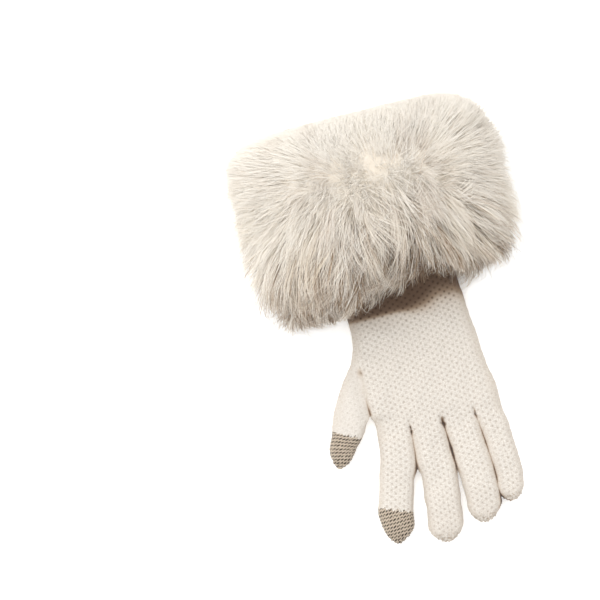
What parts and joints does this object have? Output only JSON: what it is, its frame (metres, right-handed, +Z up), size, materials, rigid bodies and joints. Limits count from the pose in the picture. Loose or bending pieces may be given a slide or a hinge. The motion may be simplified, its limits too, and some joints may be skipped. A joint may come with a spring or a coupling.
{
  "type": "knit glove with fur cuff",
  "caption": "Left knit glove lying palm down, with open fingers and thumb, touch-sensitive fingertip and thumb tip, and a deep fur cuff round its sleeve.",
  "frame": {"origin": "middle of the footprint of the whole glove, on the surface it lies on", "axes": "+Z up from the surface, -Y towards the fingertips, +Y towards the wrist opening, thumb on the -X side"},
  "size_m": [0.1946, 0.312, 0.0799],
  "materials": {
    "knit_yarn": "ivory wool and acrylic yarn, knitted in a tuck-stitch honeycomb",
    "touch_yarn": "taupe conductive yarn, knitted plain",
    "fur": "long cream fox-type fur on a leather hide"
  },
  "bodies": {
    "root": {"knit_hand": "knit_yarn", "index_finger": "knit_yarn", "middle_finger": "knit_yarn", "ring_finger": "knit_yarn", "little_finger": "knit_yarn", "thumb": "knit_yarn", "index_touch_tip": "touch_yarn", "thumb_touch_tip": "touch_yarn", "fur_cuff": "fur"}
  },
  "joints": []
}
